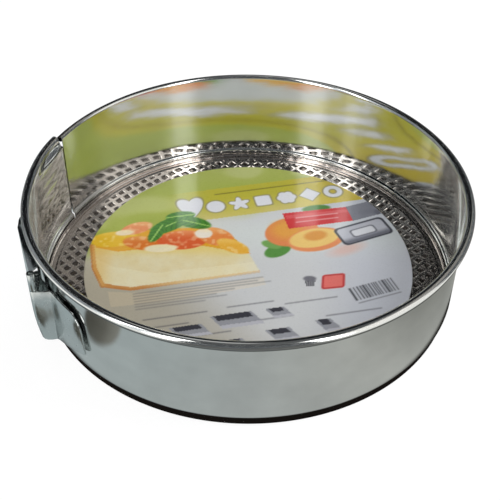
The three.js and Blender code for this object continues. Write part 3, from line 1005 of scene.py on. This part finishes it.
# ------------------------------------------------------------------ stage
def reflected_floor(tree):
    """Glowing colour of the stage as the metal reflects it, with painted light and shade."""
    position = node(tree, "NewGeometry").outputs["Position"]
    xyz = node(tree, "SeparateXYZ", {0: position}).outputs
    flat = node(tree, "CombineXYZ", {"X": xyz["X"], "Y": xyz["Y"]}).outputs[0]
    radius = node(tree, "VectorMath", {0: flat}, operation="LENGTH").outputs["Value"]
    azimuth = azimuth_of(tree, xyz["X"], xyz["Y"])

    # around the tin: painted light, tinted, brighter towards the right and dark at the far
    # right, slightly patchy
    painted_floor_light = ramp(tree, ranged(tree, xyz["X"], -0.25, 0.25), [
        (0.0, (0.385, 0.455, 0.470)), (0.5, (0.440, 0.470, 0.468)),
        (0.78, (0.480, 0.490, 0.468)), (0.92, (0.25, 0.255, 0.235))])
    patches = noise(tree, position, scale=26.0, detail=3.0, roughness=0.6)
    patches = ramp(tree, patches, [(0.3, 0.93), (0.7, 1.05)])
    around = mix(tree, painted_floor_light, patches, blend="MULTIPLY")

    # far off, only the left front and the right front are lit
    lit = calc(tree, "MAXIMUM", window(tree, azimuth, 184, 238, 12),
               window(tree, azimuth, 304, 358, 12))
    far = mix(tree, 0.13, (1.05, 1.05, 1.02), factor=lit)
    floor = mix(tree, around, far, factor=ranged(tree, radius, 0.205, 0.245))

    # a shaded patch at the left front
    offset = node(tree, "VectorMath", {0: flat, 1: (-0.135, -0.1135, 0)},
                  operation="SUBTRACT").outputs[0]
    distance = node(tree, "VectorMath", {0: offset}, operation="LENGTH").outputs["Value"]
    shade = ramp(tree, ranged(tree, azimuth, 214, 230), [
        (0.0, (0.075, 0.073, 0.060)), (0.5, (0.125, 0.122, 0.104)), (1.0, (0.26, 0.26, 0.23))])
    floor = mix(tree, floor, shade, factor=ranged(tree, distance, 0.0265, 0.0205))

    # painted shadow: nearly black under the tin
    return mix(tree, (0.010, 0.008, 0.007), floor, factor=ranged(tree, radius, 0.1335, 0.1368))


def build_stage():
    half = 6.0
    mesh = bpy.data.meshes.new("stage_floor")
    corners = [(-half, -half, 0), (half, -half, 0), (half, half, 0), (-half, half, 0)]
    mesh.from_pydata(corners, [], [(0, 1, 2, 3)])
    ob = bpy.data.objects.new("stage_floor", mesh)
    ob.location.z = -0.0002
    bpy.context.scene.collection.objects.link(ob)

    material = bpy.data.materials.new("stage_floor")
    tree = empty_tree(material)
    material.cycles.emission_sampling = "NONE"
    output = node(tree, "OutputMaterial")
    ray = node(tree, "LightPath").outputs
    matte = node(tree, "BsdfDiffuse", {"Color": rgba(0.93)})
    glow = node(tree, "Emission", {"Color": reflected_floor(tree), "Strength": 1.0})
    # to the camera the floor is plain and pale, with only a faint shadow
    paper = node(tree, "Emission", {"Color": rgba(1.0), "Strength": 1.08})
    paper_share = calc(tree, "MULTIPLY", ray["Is Camera Ray"], 0.86)
    seen = mix_shader(tree, paper_share, matte.outputs[0], paper.outputs[0])
    surface = mix_shader(tree, ray["Is Glossy Ray"], seen, glow.outputs[0])
    fill(tree, output, {"Surface": surface})
    mesh.materials.append(material)


build_stage()


# ------------------------------------------------------------------ world
# Reflected brightness from the horizon (0) to overhead (1).
SKY = [
    (0.0, (0.10, 0.11, 0.12)), (0.30, (0.075, 0.085, 0.095)), (0.42, (0.060, 0.065, 0.070)),
    (0.60, (0.06, 0.065, 0.070)), (0.85, (0.12, 0.125, 0.13)), (1.0, (0.13, 0.13, 0.13))]

# Patches of the reflected room: blend, whether measured in the turned azimuth (180 at +X),
# azimuth (from, to, softness), elevation (from, to, softness), colour, strength.
SHADE = (1.0, 1.0, 1.08)
WHITE = (1.0, 1.0, 1.0)
SKY_PATCHES = [
    # dark areas at the left rear and over the back
    ("MULTIPLY", False, (100, 180, 8), (14, 66, 6), SHADE, 0.10),
    ("MULTIPLY", False, (66, 94, 6), (22, 62, 8), SHADE, 0.15),
    # window at the left front, and two lamps
    ("ADD", False, (203, 230, 8), (-40, 44, 14), (0.93, 0.97, 1.0), 0.75),
    ("ADD", False, (228, 238, 4), (-10, 52, 10), WHITE, 4.5),
    ("ADD", False, (207, 212, 3), (-10, 48, 10), WHITE, 3.0),
    # window at the right front, and its lamp
    ("ADD", True, (134, 178, 14), (-40, 42, 12), (1.0, 0.97, 0.93), 1.00),
    ("ADD", True, (124, 133, 4), (-10, 52, 10), WHITE, 4.5),
    # its upper part, reaching round the right to the right rear
    ("ADD", True, (176, 202, 12), (38, 56, 8), (1.0, 0.95, 0.90), 0.24),
    ("ADD", True, (206, 236, 8), (30, 50, 8), (1.0, 0.90, 0.80), 0.22),
    # low on the left, low at the back, and a lamp overhead
    ("ADD", False, (150, 196, 12), (-6, 33, 8), (0.88, 0.95, 1.0), 0.24),
    ("ADD", False, (70, 110, 10), (-30, 4, 8), (1.0, 0.98, 0.96), 0.40),
    ("ADD", False, (92, 140, 12), (62, 76, 6), WHITE, 0.5)]


def build_world():
    """Plain soft light, but a room with windows and lamps for reflections."""
    world = bpy.data.worlds.new("studio")
    bpy.context.scene.world = world
    tree = empty_tree(world)
    # the sky differs for reflections, so it is only met by rays
    world.cycles.sampling_method = "NONE"
    output = node(tree, "OutputWorld")
    ray = node(tree, "LightPath").outputs
    plain = node(tree, "Background", {"Color": rgba(1.0), "Strength": 0.43})
    direction = node(tree, "TexCoord").outputs["Generated"]
    xyz = node(tree, "SeparateXYZ", {0: direction}).outputs
    azimuth = azimuth_of(tree, xyz["X"], xyz["Y"])
    elevation = calc(tree, "MULTIPLY", calc(tree, "ARCSINE", xyz["Z"]), 180 / math.pi)
    turned = full_turn(tree, azimuth, 180.0)

    room = ramp(tree, calc(tree, "DIVIDE", elevation, 90.0), SKY)
    for blend, use_turned, across, upright, colour, strength in SKY_PATCHES:
        factor = calc(tree, "MULTIPLY",
                      window(tree, turned if use_turned else azimuth, *across),
                      window(tree, elevation, *upright))
        level = tuple(c * strength for c in colour)
        room = mix(tree, room, level, factor=factor, blend=blend)
    mirrored = node(tree, "Background", {"Color": room, "Strength": 1.0})
    surface = mix_shader(tree, ray["Is Glossy Ray"], plain.outputs[0], mirrored.outputs[0])
    fill(tree, output, {"Surface": surface})


build_world()


# ------------------------------------------------------------------ lights and camera
def area_light(name, location, aim, size, power):
    """Square light, unseen in reflections."""
    light = bpy.data.lights.new(name, "AREA")
    light.shape = "RECTANGLE"
    light.size = light.size_y = size
    light.energy = power
    ob = bpy.data.objects.new(name, light)
    ob.location = location
    ob.rotation_euler = (Vector(aim) - Vector(location)).to_track_quat("-Z", "Y").to_euler()
    ob.visible_glossy = False
    bpy.context.scene.collection.objects.link(ob)


def build_camera(location, pitch, yaw, roll, lens):
    """Camera looking to the rear; pitch down, yaw to the right and roll are in degrees."""
    data = bpy.data.cameras.new("camera")
    data.sensor_fit = "HORIZONTAL"
    data.sensor_width = 36.0
    data.lens = lens
    data.clip_start = 0.01
    data.clip_end = 50
    camera = bpy.data.objects.new("camera", data)
    bpy.context.scene.collection.objects.link(camera)
    pitch, yaw, roll = (math.radians(angle) for angle in (pitch, yaw, roll))
    forward = Vector((math.sin(yaw) * math.cos(pitch), math.cos(yaw) * math.cos(pitch),
                      -math.sin(pitch)))
    level_right = forward.cross(Vector((0, 0, 1))).normalized()
    level_up = level_right.cross(forward)
    right = level_right * math.cos(roll) + level_up * math.sin(roll)
    up = level_up * math.cos(roll) - level_right * math.sin(roll)
    rows = [(right[i], up[i], -forward[i], location[i]) for i in range(3)]
    camera.matrix_world = Matrix((*rows, (0, 0, 0, 1)))
    bpy.context.scene.camera = camera


area_light("key_soft", location=(-0.30, 0.20, 1.15), aim=(0, 0, 0), size=0.55, power=1.7)
area_light("fill_soft", location=(0.52, -0.12, 0.56), aim=(0.02, 0, 0), size=0.30, power=2.0)
area_light("back_soft", location=(0.15, 0.75, 0.9), aim=(0, 0, 0), size=0.5, power=1.9)

view = bpy.context.scene.view_settings
view.view_transform = "Standard"
view.look = "None"
view.exposure = 0.0
view.gamma = 1.0

build_camera(location=(0.0, -0.44242105, 0.38925085), pitch=40.20, yaw=0.19, roll=0.69,
             lens=64.9512)
